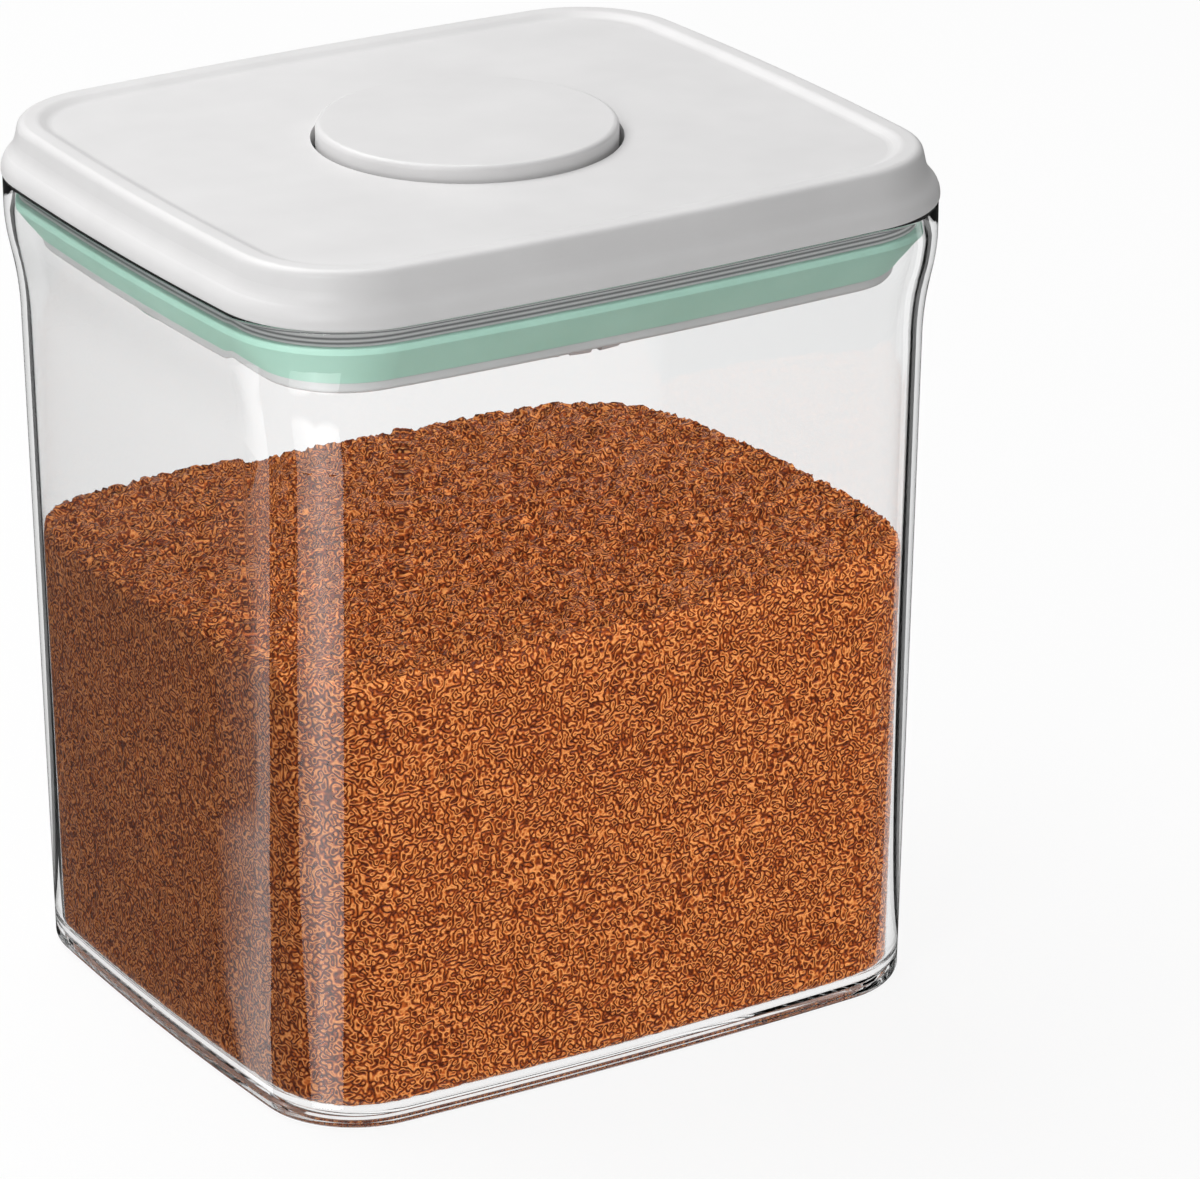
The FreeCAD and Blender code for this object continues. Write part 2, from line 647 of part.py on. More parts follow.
def pusher(half_span, side_radius, crossbar_half, angle):
    """Sliding wedge follower with a bowed bar behind the gasket, drawn along +X."""
    low = PLATE_TOP_Z + SLIDE_GAP
    top = RIM_Z + UPSTAND_TOP_RISE
    outer = half_span - GASKET_LEG_INSET - PUSHER_GASKET_GAP
    inner = outer - CROSSBAR_WALL
    centre_x = half_span - side_radius
    arc_outer = outer - centre_x
    arc_inner = inner - centre_x
    bowed = []
    for radius, reach in ((arc_outer, outer), (arc_inner, inner)):
        end = centre_x + math.sqrt(radius * radius - crossbar_half * crossbar_half)
        bowed.append((V(end, -crossbar_half, low), V(reach, 0, low), V(end, crossbar_half, low)))
    outline = [Part.Arc(*points).toShape() for points in bowed]
    for side in (0, -1):
        outline.append(Part.makeLine(bowed[0][side], bowed[1][side]))
    crossbar = Part.Face(Part.Wire(Part.__sortEdges__(outline))).extrude(UP * CROSSBAR_HEIGHT)
    bar = block(UPSTAND_OUTER, inner + CROSSBAR_WALL / 2, -BAR_HALF, BAR_HALF, low, low + BAR_HEIGHT)
    wedge = Part.Face(Part.makePolygon([
        V(half_at(low) + WEDGE_GAP, -BAR_HALF, low),
        V(UPSTAND_OUTER, -BAR_HALF, low),
        V(UPSTAND_OUTER, -BAR_HALF, top),
        V(half_at(top) + WEDGE_GAP, -BAR_HALF, top),
        V(half_at(low) + WEDGE_GAP, -BAR_HALF, low),
    ])).extrude(V(0, 2 * BAR_HALF, 0))
    return spun(crossbar.fuse([bar, wedge]), angle)


def pusher_right():
    return pusher(HALF_W, SIDE_RADIUS_X, HALF_D - CROSSBAR_MARGIN_X, 0)


def pusher_back():
    return pusher(HALF_D, SIDE_RADIUS_Y, HALF_W - CROSSBAR_MARGIN_Y, 90)


def pusher_left():
    return pusher(HALF_W, SIDE_RADIUS_X, HALF_D - CROSSBAR_MARGIN_X, 180)


def pusher_front():
    return pusher(HALF_D, SIDE_RADIUS_Y, HALF_W - CROSSBAR_MARGIN_Y, 270)


def pusher_retainer():
    sheet = plan_prism(RETAINER_INSET, RETAINER_Z, RETAINER_TOP_Z)
    low, high = RETAINER_Z - CUT_OVERRUN, RETAINER_TOP_Z + CUT_OVERRUN
    holes = [post(RETAINER_HOLE, low, high)]
    holes += [post(PIN_RADIUS + PIN_FIT, low, high, point) for point in corner_points()]
    return sheet.cut(holes)


def vent_cage():
    face_top = CAGE_FACE_Z + CAGE_FACE_WALL
    ring_outer = WINDOW_RADIUS + WINDOW_RING
    ring_low = CAGE_FACE_Z - WINDOW_RING_HEIGHT
    cup = turned([
        (WINDOW_RADIUS, ring_low, 0),
        (ring_outer, ring_low, 0),
        (ring_outer, CAGE_FACE_Z, 0),
        (CAGE_FACE_RADIUS, CAGE_FACE_Z, CAGE_FACE_ROUND),
        (CAGE_BASE_RADIUS, CAGE_FLANGE_Z, 0),
        (CAGE_FLANGE_RADIUS, CAGE_FLANGE_Z, 0),
        (CAGE_FLANGE_RADIUS, CAGE_TOP_Z, 0),
        (CAGE_BORE, CAGE_TOP_Z, 0),
        (CAGE_BORE, face_top, 0),
        (WINDOW_RADIUS, face_top, 0),
    ])
    tongues = []
    for angle in (0, 180):
        tongue = block(CAGE_BASE_RADIUS, TONGUE_REACH, -TONGUE_HALF, TONGUE_HALF, CAGE_FLANGE_Z, CAGE_TOP_Z)
        tongues.append(spun(tongue, angle))
    half = SLOT_WIDTH / 2
    start = SLOT_START + half
    below = CAGE_FACE_Z - CUT_OVERRUN
    slot = block(start, SLOT_END, -half, half, below, CAGE_FACE_Z + SLOT_DEPTH)
    slot = slot.fuse(post(half, below, face_top + CUT_OVERRUN, V(start, 0, 0)))
    slots = [spun(slot, 360 / SLOT_COUNT * (index + 1 / 2)) for index in range(SLOT_COUNT)]
    return moved(cup.fuse(tongues).cut(slots), CAGE_X, CAGE_Y)


def terracotta_disc():
    low = CAGE_FACE_Z + CAGE_FACE_WALL
    high = PLATE_Z - DISC_TOP_GAP
    disc = turned([
        (0, low, 0),
        (DISC_RADIUS, low, DISC_ROUND),
        (DISC_RADIUS, high, DISC_ROUND),
        (0, high, 0),
    ])
    return moved(disc, CAGE_X, CAGE_Y)


def scoop_place(shape):
    """Turn and move a scoop or clip, drawn about the bowl axis, to its place under the plate."""
    return moved(spun(shape, SCOOP_TURN), BOWL_X, BOWL_Y)


def bowl_solid(radius, low, high):
    """Upright cylinder with a nearly half-round bottom."""
    return turned([
        (0, low, 0),
        (radius, low, radius * BOWL_ROUND_SHARE),
        (radius, high, 0),
        (0, high, 0),
    ])


def scoop():
    bowl_low = SCOOP_TOP_Z - BOWL_STRAIGHT - BOWL_RADIUS
    shell = bowl_solid(BOWL_RADIUS, bowl_low, SCOOP_TOP_Z)
    rim = post(BOWL_RIM_RADIUS, SCOOP_TOP_Z - BOWL_RIM_HEIGHT, SCOOP_TOP_Z)
    low = SCOOP_TOP_Z - HANDLE_HEIGHT
    end = HANDLE_REACH
    handle = prism([
        (0, -HANDLE_HALF_ROOT, 0),
        (end, -HANDLE_HALF_END, HANDLE_HALF_END * HANDLE_END_SHARE),
        (end, HANDLE_HALF_END, HANDLE_HALF_END * HANDLE_END_SHARE),
        (0, HANDLE_HALF_ROOT, 0),
    ], low, SCOOP_TOP_Z)
    window_end = HANDLE_WINDOW_START + HANDLE_WINDOW_LENGTH
    half = HANDLE_WINDOW_HALF
    window = prism([
        (0, -half, 0),
        (window_end, -half, HANDLE_WINDOW_ROUND),
        (window_end, half, HANDLE_WINDOW_ROUND),
        (0, half, 0),
    ], low - CUT_OVERRUN, SCOOP_TOP_Z + CUT_OVERRUN)
    window = window.cut(post(HANDLE_WINDOW_START, low - CUT_OVERRUN, SCOOP_TOP_Z + CUT_OVERRUN))
    inside = HANDLE_HALF_END - HANDLE_RIM
    pocket = prism([
        (window_end + HANDLE_RIM, -HANDLE_HALF_ROOT + HANDLE_POCKET_ROOT, HANDLE_RIM),
        (end - HANDLE_RIM, -inside, inside * HANDLE_END_SHARE),
        (end - HANDLE_RIM, inside, inside * HANDLE_END_SHARE),
        (window_end + HANDLE_RIM, HANDLE_HALF_ROOT - HANDLE_POCKET_ROOT, HANDLE_RIM),
    ], low - CUT_OVERRUN, low + HANDLE_POCKET)
    hollow = bowl_solid(BOWL_RADIUS - BOWL_WALL, bowl_low + BOWL_WALL, SCOOP_TOP_Z + CUT_OVERRUN)
    holes = []
    hole_low, hole_high = bowl_low - CUT_OVERRUN, bowl_low + BOWL_RADIUS
    for step in (-1, 0, 1):
        holes.append(post(HOLE_RADIUS, hole_low, hole_high, V(0, step * HOLE_PITCH, 0)))
    return scoop_place(shell.fuse([rim, handle]).cut([window, pocket, hollow] + holes))


def scoop_clip():
    low = PLATE_Z - CLIP_HEIGHT
    lip_top = SCOOP_TOP_Z - BOWL_RIM_HEIGHT - CLIP_LIP_GAP
    wire = rounded_path([
        (CLIP_LIP_RADIUS, low, CLIP_ROUND),
        (CLIP_RADIUS, low, CLIP_ROUND),
        (CLIP_RADIUS, PLATE_Z, 0),
        (CLIP_SEAT_RADIUS, PLATE_Z, 0),
        (CLIP_SEAT_RADIUS, lip_top, 0),
        (CLIP_LIP_RADIUS, lip_top, 0),
    ], lambda radius, height: V(radius, 0, height))
    band = Part.Face(wire).revolve(AXIS, UP, 2 * CLIP_HALF_ANGLE)
    return scoop_place(spun(band, 180 - CLIP_HALF_ANGLE))


PIECES = [
    canister, lid_cover, base_plate, gasket, button_cap, plunger, plunger_screw, button_spring, latch_wire,
    wire_keeper, keeper_screw, pusher_right, pusher_back, pusher_left, pusher_front, pusher_retainer,
    vent_cage, terracotta_disc, scoop, scoop_clip,
]

for make in PIECES:
    shape = make().removeSplitter()
    if len(shape.Solids) == 1:
        shape = shape.Solids[0]
    if not shape.isValid() or len(shape.Solids) != 1:
        raise ValueError(make.__name__ + " is not one valid solid")
    shape.exportStep("parts/" + make.__name__ + ".step")
    print(make.__name__, round(shape.Volume), "mm3")
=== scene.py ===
# %% [markdown]
# # A brown sugar keeper
# The real thing is a clear canister with gently bowed sides, a pale push-button lid and a mint
# gasket behind the clear rim. Under the lid hang a terracotta disc in a slotted cage and a mint
# dosing scoop. The solids come ready from the CAD frame, so this lesson is about finishes,
# light, and the one thing that CAD does badly: a heap of crumbly sugar.

# %% Load the frame
import math
import bpy
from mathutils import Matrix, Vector, noise


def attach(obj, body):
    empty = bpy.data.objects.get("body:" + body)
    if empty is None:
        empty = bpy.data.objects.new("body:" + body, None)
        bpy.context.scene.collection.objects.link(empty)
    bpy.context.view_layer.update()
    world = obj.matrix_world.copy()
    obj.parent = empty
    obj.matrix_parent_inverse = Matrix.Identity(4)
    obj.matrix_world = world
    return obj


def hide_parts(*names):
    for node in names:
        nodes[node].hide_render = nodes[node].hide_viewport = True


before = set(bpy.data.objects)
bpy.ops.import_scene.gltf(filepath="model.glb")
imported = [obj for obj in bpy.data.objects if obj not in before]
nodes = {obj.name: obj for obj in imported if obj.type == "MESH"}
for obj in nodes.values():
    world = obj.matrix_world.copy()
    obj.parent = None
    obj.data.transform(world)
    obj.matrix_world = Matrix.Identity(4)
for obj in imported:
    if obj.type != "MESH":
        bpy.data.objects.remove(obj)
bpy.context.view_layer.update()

scene = bpy.context.scene
scene.view_settings.view_transform = "Standard"
MM = 0.001

# %% [markdown]
# ## Camera
# The keeper was photographed from its front left corner, a little from above, with a long lens.
# A long lens could be copied by eye, but here the place was worked out from the lid's edges, the
# button and the base, so the values go straight in. The sensor is 36 mm wide.

# %% Place the camera
camera_data = bpy.data.cameras.new("photo_camera")
camera_data.sensor_width = 36
camera_data.lens = 185.8
camera_data.clip_end = 20
camera = bpy.data.objects.new("photo_camera", camera_data)
scene.collection.objects.link(camera)
eye = Vector((-0.6356, -1.0791, 0.5892))
aim = Vector((0.02984, -0.00516, 0.08133))
camera.location = eye
camera.rotation_euler = (aim - eye).to_track_quat("-Z", "Y").to_euler()
scene.camera = camera
print("camera distance", round((aim - eye).length, 3))

# %% [markdown]
# ## Floor, sky and lamps
# A product table is a white sheet in a white room. Clear plastic shows the room twice, once
# through its walls and once mirrored on them, so the white has to be shared out with care: full
# white straight to the eye and through the walls, little of it in mirror images, which would lay
# a grey veil over the sugar. A photographer lays dark cards on the table for that. Here Light Path
# tells the floor which kind of ray is asking. Two cards show in single mirror images alone, and the
# image on the very outside of a wall is dark on all sides.

# %% Small helpers


def deselect():
    if bpy.context.object and bpy.context.object.mode != "OBJECT":
        bpy.ops.object.mode_set(mode="OBJECT")
    bpy.ops.object.select_all(action="DESELECT")


def new_material(name):
    material = bpy.data.materials.new(name)
    material.use_nodes = True
    tree = material.node_tree
    return material, tree, tree.nodes["Principled BSDF"]


def srgb(red, green, blue, alpha=1.0):
    """Colour as picked on screen (0 to 255), turned to the linear values that shaders use."""
    out = []
    for value in (red, green, blue):
        value = value / 255
        out.append(value / 12.92 if value <= 0.04045 else ((value + 0.055) / 1.055) ** 2.4)
    return (*out, alpha)


def math_node(tree, operation, *values):
    """A Math node; each input is a socket to link or a plain number."""
    node = tree.nodes.new("ShaderNodeMath")
    node.operation = operation
    for socket, value in zip(node.inputs, values):
        if isinstance(value, (int, float)):
            socket.default_value = value
        else:
            tree.links.new(value, socket)
    return node.outputs[0]


# %% Lay the floor
FLOOR_DROP, SHEET_DROP = 0.4 * MM, 0.2 * MM
deselect()
bpy.ops.mesh.primitive_plane_add(size=8, location=(0, 0, -FLOOR_DROP))
floor = bpy.context.object
floor.name = "studio_floor"
FLOOR_GLOW = 0.9
CARD_DARKNESS = 0.95
LEFT_CARD, FRONT_CARD = -79.5 * MM, -69.1 * MM
floor_paint, tree, shader = new_material("floor_paper")
shader.inputs["Base Color"].default_value = (0.9, 0.9, 0.9, 1)
shader.inputs["Roughness"].default_value = 0.9
shader.inputs["Specular IOR Level"].default_value = 0.1
path = tree.nodes.new("ShaderNodeLightPath")
seen = math_node(tree, "MAXIMUM", path.outputs["Is Camera Ray"], path.outputs["Is Transmission Ray"])
glow = tree.nodes.new("ShaderNodeEmission")
white = tree.nodes.new("ShaderNodeMixShader")
tree.links.new(math_node(tree, "MULTIPLY", seen, FLOOR_GLOW), white.inputs[0])
tree.links.new(shader.outputs[0], white.inputs[1])
tree.links.new(glow.outputs[0], white.inputs[2])
shiny = math_node(tree, "MAXIMUM", path.outputs["Is Glossy Ray"], path.outputs["Is Transmission Ray"])
once = math_node(tree, "COMPARE", path.outputs["Glossy Depth"], 1, 0.1)
where = tree.nodes.new("ShaderNodeTexCoord")
place = tree.nodes.new("ShaderNodeSeparateXYZ")
tree.links.new(where.outputs["Object"], place.inputs[0])
left_card = math_node(tree, "LESS_THAN", place.outputs["X"], LEFT_CARD)
front_card = math_node(tree, "LESS_THAN", place.outputs["Y"], FRONT_CARD)
outside = math_node(tree, "LESS_THAN", path.outputs["Transmission Depth"], 0.5)
cards = math_node(tree, "MAXIMUM", math_node(tree, "MAXIMUM", left_card, front_card), outside)
mirrored = math_node(tree, "MULTIPLY", math_node(tree, "MULTIPLY", once, cards), shiny)
dim = tree.nodes.new("ShaderNodeEmission")
dim.inputs["Color"].default_value = (0, 0, 0, 1)
paper = tree.nodes.new("ShaderNodeMixShader")
tree.links.new(math_node(tree, "MULTIPLY", mirrored, CARD_DARKNESS), paper.inputs[0])
tree.links.new(white.outputs[0], paper.inputs[1])
tree.links.new(dim.outputs[0], paper.inputs[2])
tree.links.new(paper.outputs[0], tree.nodes["Material Output"].inputs["Surface"])
floor.data.materials.append(floor_paint)
print("floor", tuple(round(side, 2) for side in floor.dimensions), "m")

# %% Light the room
ROOM_FILL = 0.34
SIDE_DARK, SIDE_BRIGHT = 0.66, 1.1
BRIGHT_SIDE = Vector((0.9, -0.4, 0.15)).normalized()
world = bpy.data.worlds.new("white_room")
scene.world = world
world.use_nodes = True
tree = world.node_tree
sky = tree.nodes["Background"]
sky.inputs["Color"].default_value = (1, 1, 1, 1)
path = tree.nodes.new("ShaderNodeLightPath")
where = tree.nodes.new("ShaderNodeTexCoord")
side = tree.nodes.new("ShaderNodeVectorMath")
side.operation = "DOT_PRODUCT"
side.inputs[1].default_value = BRIGHT_SIDE
tree.links.new(where.outputs["Generated"], side.inputs[0])
spread = tree.nodes.new("ShaderNodeMapRange")
spread.interpolation_type = "SMOOTHSTEP"
spread.inputs["From Min"].default_value = -0.8
spread.inputs["From Max"].default_value = 0.4
spread.inputs["To Min"].default_value = SIDE_DARK - ROOM_FILL
spread.inputs["To Max"].default_value = SIDE_BRIGHT - ROOM_FILL
tree.links.new(side.outputs["Value"], spread.inputs["Value"])
gathers = math_node(tree, "MINIMUM", path.outputs["Diffuse Depth"], 1)
shared = math_node(tree, "MULTIPLY", gathers, spread.outputs["Result"])
straight = math_node(tree, "MULTIPLY", math_node(tree, "SUBTRACT", 1, gathers), 1 - ROOM_FILL)
clear_level = math_node(tree, "ADD", shared, straight)
through = math_node(tree, "MULTIPLY", path.outputs["Is Transmission Ray"], clear_level)
direct = math_node(tree, "MULTIPLY", path.outputs["Is Camera Ray"], 1 - ROOM_FILL)
extra = math_node(tree, "ADD", through, direct)
tree.links.new(math_node(tree, "ADD", extra, ROOM_FILL), sky.inputs["Strength"])
print("room fill", ROOM_FILL)


# %% Hang the lamps
def lamp(name, place, target, width, height, power):
    """Soft rectangular lamp that isn't seen through the clear wall."""
    data = bpy.data.lights.new(name, "AREA")
    data.shape = "RECTANGLE"
    data.size = width
    data.size_y = height
    data.energy = power
    light = bpy.data.objects.new(name, data)
    light.location = place
    direction = Vector(target) - Vector(place)
    light.rotation_euler = direction.to_track_quat("-Z", "Y").to_euler()
    light.visible_transmission = False
    scene.collection.objects.link(light)
    return light


lamp("top_softbox", (-0.25, 0.6, 1.25), (0, 0, 0.15), 1.4, 0.9, 15)
lamp("corner_softbox", (-0.62, -0.45, 0.5), (-0.07, -0.06, 0.18), 0.3, 0.3, 2)

# %% [markdown]
# ## Streaks on the front corner
# A tall lamp is the usual way to draw a bright line down a clear corner. Seen from above, an
# upright wall mirrors only the floor, though, so here bright strips lie on the floor and fan
# out from the corner. Only mirror images see them, they fade towards one edge, and they reach no
# further than that corner, so the flat walls stay nearly free of them. Two dark cards beside the
# other corners do the opposite: bent once through the wall, they draw its edge as a line.

# %% A sheet on the floor


def floor_sheet(name, rows):
    """Flat sheet on the floor, three points to a row (mm), with an empty material."""
    deselect()
    bpy.ops.mesh.primitive_grid_add(x_subdivisions=2, y_subdivisions=len(rows) - 1, size=1)
    sheet = bpy.context.object
    sheet.name = name
    for index, vertex in enumerate(sheet.data.vertices):
        x, y = rows[index // 3][index % 3]
        vertex.co = (x * MM, y * MM, -SHEET_DROP)
    paint, tree, _ = new_material(name + "_paint")
    sheet.data.materials.append(paint)
    sheet.visible_camera = False
    sheet.visible_diffuse = False
    sheet.visible_shadow = False
    print(name, len(sheet.data.polygons), "faces")
    return sheet, tree


# %% Lay the bright strips
DOWNWARD = math.cos(math.radians(25))
SLACK, LEAST_SLACK = 0.12, 9 * MM
FADE = 4
WIDE = [
    [(-83, -60), (-81, -64), (-76, -70)],
    [(-113, -64), (-109, -75), (-96, -92)],
    [(-199, -64), (-182, -115), (-146, -159)],
    [(-293, -84), (-260, -173), (-196, -240)],
    [(-425, -142), (-364, -270), (-260, -366)],
]
NARROW = [
    [(-84, -21), (-84, -33), (-84, -43)],
    [(-102, 12), (-103, -5), (-106, -21)],
    [(-148, 84), (-152, 58), (-180, 22)],
    [(-193, 159), (-249, 98), (-277, 47)],
    [(-249, 256), (-398, 131), (-427, 53)],
]


def bright_strip(name, rows, source, glows, strength):
    """Strip that glows more or less along each column, seen from the corner point source (mm) alone."""
    strip, tree = floor_sheet(name, rows)
    strip.visible_transmission = False
    level = strip.data.attributes.new("level", "FLOAT", "POINT")
    reach = strip.data.attributes.new("reach", "FLOAT", "POINT")
    slack = strip.data.attributes.new("slack", "FLOAT", "POINT")
    for index, vertex in enumerate(strip.data.vertices):
        level.data[index].value = glows[index % 3] * strength
        away = (vertex.co.xy - Vector(source) * MM).length / DOWNWARD
        reach.data[index].value = away
        slack.data[index].value = away * SLACK + LEAST_SLACK
    read = {}
    for key in ("level", "reach", "slack"):
        read[key] = tree.nodes.new("ShaderNodeAttribute")
        read[key].attribute_name = key
    path = tree.nodes.new("ShaderNodeLightPath")
    off = math_node(tree, "SUBTRACT", path.outputs["Ray Length"], read["reach"].outputs["Fac"])
    share = math_node(tree, "DIVIDE", math_node(tree, "ABSOLUTE", off), read["slack"].outputs["Fac"])
    near = math_node(tree, "MULTIPLY", math_node(tree, "SUBTRACT", 1, share), FADE)
    near = math_node(tree, "MINIMUM", math_node(tree, "MAXIMUM", near, 0), 1)
    lit = tree.nodes.new("ShaderNodeEmission")
    glow = math_node(tree, "MULTIPLY", near, read["level"].outputs["Fac"])
    tree.links.new(glow, lit.inputs["Strength"])
    tree.links.new(lit.outputs[0], tree.nodes["Material Output"].inputs["Surface"])


bright_strip("wide_streak", WIDE, (-75.6, -62.1), (0.35, 1, 0.6), 5.6)
bright_strip("narrow_streak", NARROW, (-81, -48), (0, 0.7, 1), 2.4)

# %% Dark cards beside the two side corners
WALL_PASS = 2
CARD_NEAR, CARD_FAR = 23, 650


def dark_card(name, corner_x, corner_y, first, last):
    """Wedge on the floor between two headings (degrees), dark to light bent once by the wall."""
    rows = []
    for reach in (CARD_NEAR, CARD_FAR):
        turns = [math.radians(first + (last - first) * k / 2) for k in range(3)]
        rows.append([(corner_x + reach * math.cos(t), corner_y + reach * math.sin(t)) for t in turns])
    card, tree = floor_sheet(name, rows)
    card.visible_glossy = False
    path = tree.nodes.new("ShaderNodeLightPath")
    black = tree.nodes.new("ShaderNodeEmission")
    black.inputs["Strength"].default_value = 0
    air = tree.nodes.new("ShaderNodeBsdfTransparent")
    either = tree.nodes.new("ShaderNodeMixShader")
    bent = math_node(tree, "COMPARE", path.outputs["Transmission Depth"], WALL_PASS, 0.1)
    tree.links.new(bent, either.inputs[0])
    tree.links.new(air.outputs[0], either.inputs[1])
    tree.links.new(black.outputs[0], either.inputs[2])
    tree.links.new(either.outputs[0], tree.nodes["Material Output"].inputs["Surface"])


dark_card("right_card", 57.1, -46.7, 6, 27)
dark_card("left_card", -57.1, 46.7, 93, 114)

# %% [markdown]
# ## Moulded plastic
# The lid, plate, cage and scoop are injection moulded. Close up, the skin has a very fine grain
# from the mould and small waves in its gloss. Both could be painted as pictures, but noise on
# object coordinates gives the same at any size and needs no unwrapping. One helper makes them all.
# The lid's neck also gets fine dark lines behind the clear rim, painted into its colour as a wave along
# the height: painted shade and painted refraction lines, standing for the shadow under the brim and the
# lines that the clear rim bends.

# %% A helper for moulded finishes


def grain(tree, size_mm, detail=2.0):
    """Noise with features of about that size, read from the piece's own object coordinates."""
    where = tree.nodes.new("ShaderNodeTexCoord")
    texture = tree.nodes.new("ShaderNodeTexNoise")
    texture.inputs["Scale"].default_value = 1 / (size_mm * MM)
    texture.inputs["Detail"].default_value = detail
    tree.links.new(where.outputs["Object"], texture.inputs["Vector"])
    return texture


def tint(tree, value, dark, light):
    """Colour between two shades, driven by a value from 0 to 1."""
    ramp = tree.nodes.new("ShaderNodeValToRGB")
    ramp.color_ramp.elements[0].position = 0.3
    ramp.color_ramp.elements[0].color = dark
    ramp.color_ramp.elements[1].position = 0.7
    ramp.color_ramp.elements[1].color = light
    tree.links.new(value, ramp.inputs["Fac"])
    return ramp


def moulded(name, dark, light, rough, grain_mm=0.35, depth_mm=0.01, cloud_mm=18):
    material, tree, shader = new_material(name)
    cloud = grain(tree, cloud_mm)
    shade = tint(tree, cloud.outputs["Fac"], dark, light)
    tree.links.new(shade.outputs["Color"], shader.inputs["Base Color"])
    gloss = tree.nodes.new("ShaderNodeMapRange")
    gloss.inputs["To Min"].default_value = rough - 0.05
    gloss.inputs["To Max"].default_value = rough + 0.05
    fine = grain(tree, grain_mm)
    tree.links.new(fine.outputs["Fac"], gloss.inputs["Value"])
    tree.links.new(gloss.outputs["Result"], shader.inputs["Roughness"])
    bump = tree.nodes.new("ShaderNodeBump")
    bump.inputs["Distance"].default_value = depth_mm * MM
    tree.links.new(fine.outputs["Fac"], bump.inputs["Height"])
    tree.links.new(bump.outputs["Normal"], shader.inputs["Normal"])
    return material


def dress(material, *names):
    """Give a finish to CAD nodes."""
    for name in names:
        for slot in nodes[name].material_slots:
            slot.material = material
    print(material.name, "on", ", ".join(names))


# %% Lid, plate and inner mouldings
lid_white = moulded("lid_white", srgb(221, 220, 220), srgb(226, 225, 225), 0.42)
dress(lid_white, "lid_cover", "button_cap")
dress(moulded("plate_grey", srgb(190, 190, 190), srgb(196, 196, 196), 0.5), "base_plate")
dress(moulded("cage_grey", srgb(202, 203, 206), srgb(210, 211, 213), 0.3), "vent_cage")
dress(moulded("inner_white", srgb(214, 213, 210), srgb(222, 221, 218), 0.5), "plunger", "wire_keeper")
inner = ["pusher_right", "pusher_back", "pusher_left", "pusher_front", "pusher_retainer"]
dress(moulded("inner_grey", srgb(156, 158, 162), srgb(166, 168, 172), 0.5), *inner)

# %% Painted shade lines round the lid's neck
SHADE_LINE_PITCH, NECK_TOP = 0.95 * MM, 179.2 * MM
tree = lid_white.node_tree
shader = tree.nodes["Principled BSDF"]
paint = shader.inputs["Base Color"].links[0].from_socket
where = tree.nodes.new("ShaderNodeTexCoord")
place = tree.nodes.new("ShaderNodeSeparateXYZ")
tree.links.new(where.outputs["Object"], place.inputs[0])
turns = math_node(tree, "MULTIPLY", place.outputs["Z"], 2 * math.pi / SHADE_LINE_PITCH)
shade_wave = math_node(tree, "MULTIPLY_ADD", math_node(tree, "COSINE", turns), 0.5, 0.5)
below = math_node(tree, "LESS_THAN", place.outputs["Z"], NECK_TOP)
# Painted shade: below the neck top the lid's colour waves to dark grey, drawn lines of shadow and
# refraction, not ribs in the plastic.
painted_shade_lines = tree.nodes.new("ShaderNodeMix")
painted_shade_lines.data_type = "RGBA"
painted_shade_lines.inputs["B"].default_value = srgb(120, 120, 122)
tree.links.new(math_node(tree, "MULTIPLY", shade_wave, below), painted_shade_lines.inputs["Factor"])
tree.links.new(paint, painted_shade_lines.inputs["A"])
tree.links.new(painted_shade_lines.outputs["Result"], shader.inputs["Base Color"])
print("ribs every", round(SHADE_LINE_PITCH / MM, 2), "mm")

# %% Mint silicone and mint plastic
dress(moulded("mint_silicone", srgb(170, 213, 196), srgb(178, 219, 203), 0.55, 0.5, 0.015), "gasket")
dress(moulded("mint_plastic", srgb(160, 214, 193), srgb(168, 219, 199), 0.26), "scoop", "scoop_clip")

# %% [markdown]
# ## Fired clay
# Terracotta is dry and matt: sandy grain, a few darker iron specks and small pores. Three sizes
# of noise stacked in colour and bump are enough, and no gloss at all.

# %% The terracotta disc
clay, tree, shader = new_material("terracotta")
sand = grain(tree, 0.6, 6)
tone = tint(tree, sand.outputs["Fac"], srgb(196, 82, 30), srgb(226, 108, 46))
specks = grain(tree, 0.9, 1)
spots = tree.nodes.new("ShaderNodeMapRange")
spots.inputs["From Min"].default_value = 0.68
spots.inputs["From Max"].default_value = 0.74
spots.inputs["To Max"].default_value = 0.55
tree.links.new(specks.outputs["Fac"], spots.inputs["Value"])
mix = tree.nodes.new("ShaderNodeMix")
mix.data_type = "RGBA"
mix.inputs["B"].default_value = srgb(120, 52, 24)
tree.links.new(spots.outputs["Result"], mix.inputs["Factor"])
tree.links.new(tone.outputs["Color"], mix.inputs["A"])
tree.links.new(mix.outputs["Result"], shader.inputs["Base Color"])
shader.inputs["Roughness"].default_value = 0.92
shader.inputs["Specular IOR Level"].default_value = 0.15
bump = tree.nodes.new("ShaderNodeBump")
bump.inputs["Distance"].default_value = 0.08 * MM
tree.links.new(sand.outputs["Fac"], bump.inputs["Height"])
tree.links.new(bump.outputs["Normal"], shader.inputs["Normal"])
dress(clay, "terracotta_disc")

# %% [markdown]
# ## Drawn steel
# The spring and the latch wire are drawn from plain steel, and the screws are turned from it. That
# leaves a fine uneven gloss, so a small noise drives the roughness.

# %% Spring, wire and screws
steel, tree, shader = new_material("drawn_steel")
shader.inputs["Base Color"].default_value = (0.62, 0.62, 0.64, 1)
shader.inputs["Metallic"].default_value = 1.0
streak = grain(tree, 0.3, 3)
gloss = tree.nodes.new("ShaderNodeMapRange")
gloss.inputs["To Min"].default_value = 0.22
gloss.inputs["To Max"].default_value = 0.42
tree.links.new(streak.outputs["Fac"], gloss.inputs["Value"])
tree.links.new(gloss.outputs["Result"], shader.inputs["Roughness"])
dress(steel, "button_spring", "latch_wire", "plunger_screw", "keeper_screw")

